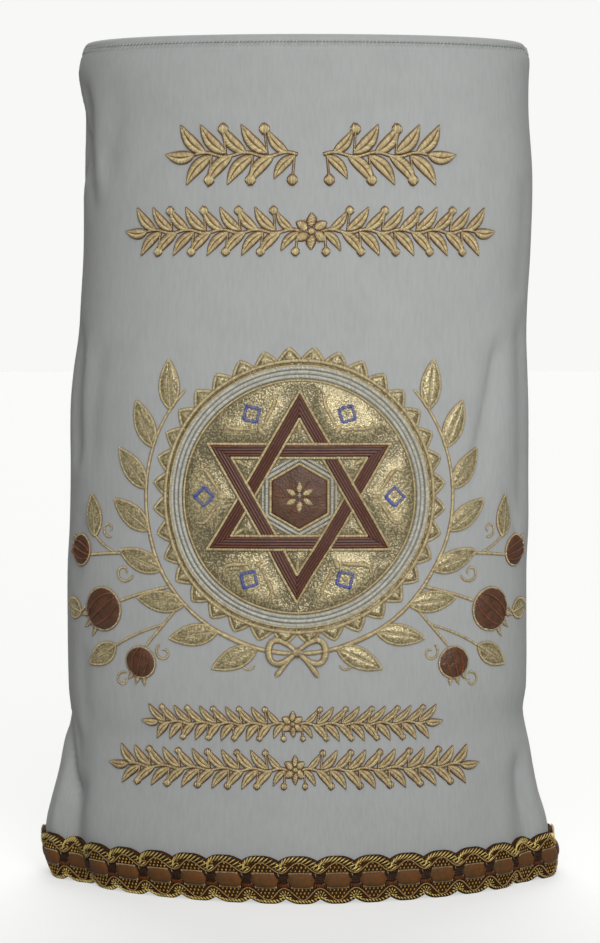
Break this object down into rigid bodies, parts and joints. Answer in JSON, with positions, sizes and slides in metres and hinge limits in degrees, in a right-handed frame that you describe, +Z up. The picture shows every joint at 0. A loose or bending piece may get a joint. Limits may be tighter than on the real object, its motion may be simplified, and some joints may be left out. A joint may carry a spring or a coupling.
{
  "type": "torah mantle",
  "caption": "Oval velvet mantle for a scroll, open at the hem, with a stiff holed top, a scalloped gold braid and padded appliqué on the front.",
  "frame": {"origin": "middle of the hem, on the surface that the mantle stands on", "axes": "+Z up, -Y towards the embroidered front, +X to the viewer's right"},
  "size_m": [0.4519, 0.2556, 0.72],
  "materials": {
    "velvet": "cut velvet, short upright nap, off-white",
    "top_velvet": "off-white velvet over a stiff board, whipped to the wall along its rim",
    "braid": "woven gold and brown braid with twisted cords and a velvet ribbon",
    "gold_leather": "pebbled metallic gold leatherette, softly padded",
    "brown_leather": "shiny dark brown leatherette",
    "burgundy_thread": "ribbed burgundy satin stitch with copper lines"
  },
  "bodies": {
    "root": {"front_panel": "velvet", "back_panel": "velvet", "top": "top_velvet", "hem_braid": "braid", "medallion_field": "gold_leather", "star_band": "burgundy_thread", "centre_patch": "brown_leather", "wreath_leaf_left_1": "gold_leather", "wreath_leaf_left_2": "gold_leather", "wreath_leaf_left_3": "gold_leather", "wreath_leaf_left_4": "gold_leather", "wreath_leaf_left_5": "gold_leather", "wreath_leaf_left_6": "gold_leather", "wreath_leaf_left_7": "gold_leather", "wreath_leaf_left_8": "gold_leather", "wreath_leaf_right_1": "gold_leather", "wreath_leaf_right_2": "gold_leather", "wreath_leaf_right_3": "gold_leather", "wreath_leaf_right_4": "gold_leather", "wreath_leaf_right_5": "gold_leather", "wreath_leaf_right_6": "gold_leather", "wreath_leaf_right_7": "gold_leather", "wreath_leaf_right_8": "gold_leather", "side_leaf_left_1": "gold_leather", "side_leaf_left_2": "gold_leather", "side_leaf_left_3": "gold_leather", "side_leaf_right_1": "gold_leather", "side_leaf_right_2": "gold_leather", "side_leaf_right_3": "gold_leather", "fruit_left_1": "brown_leather", "fruit_left_2": "brown_leather", "fruit_left_3": "brown_leather", "fruit_right_1": "brown_leather", "fruit_right_2": "brown_leather", "fruit_right_3": "brown_leather"}
  },
  "joints": []
}
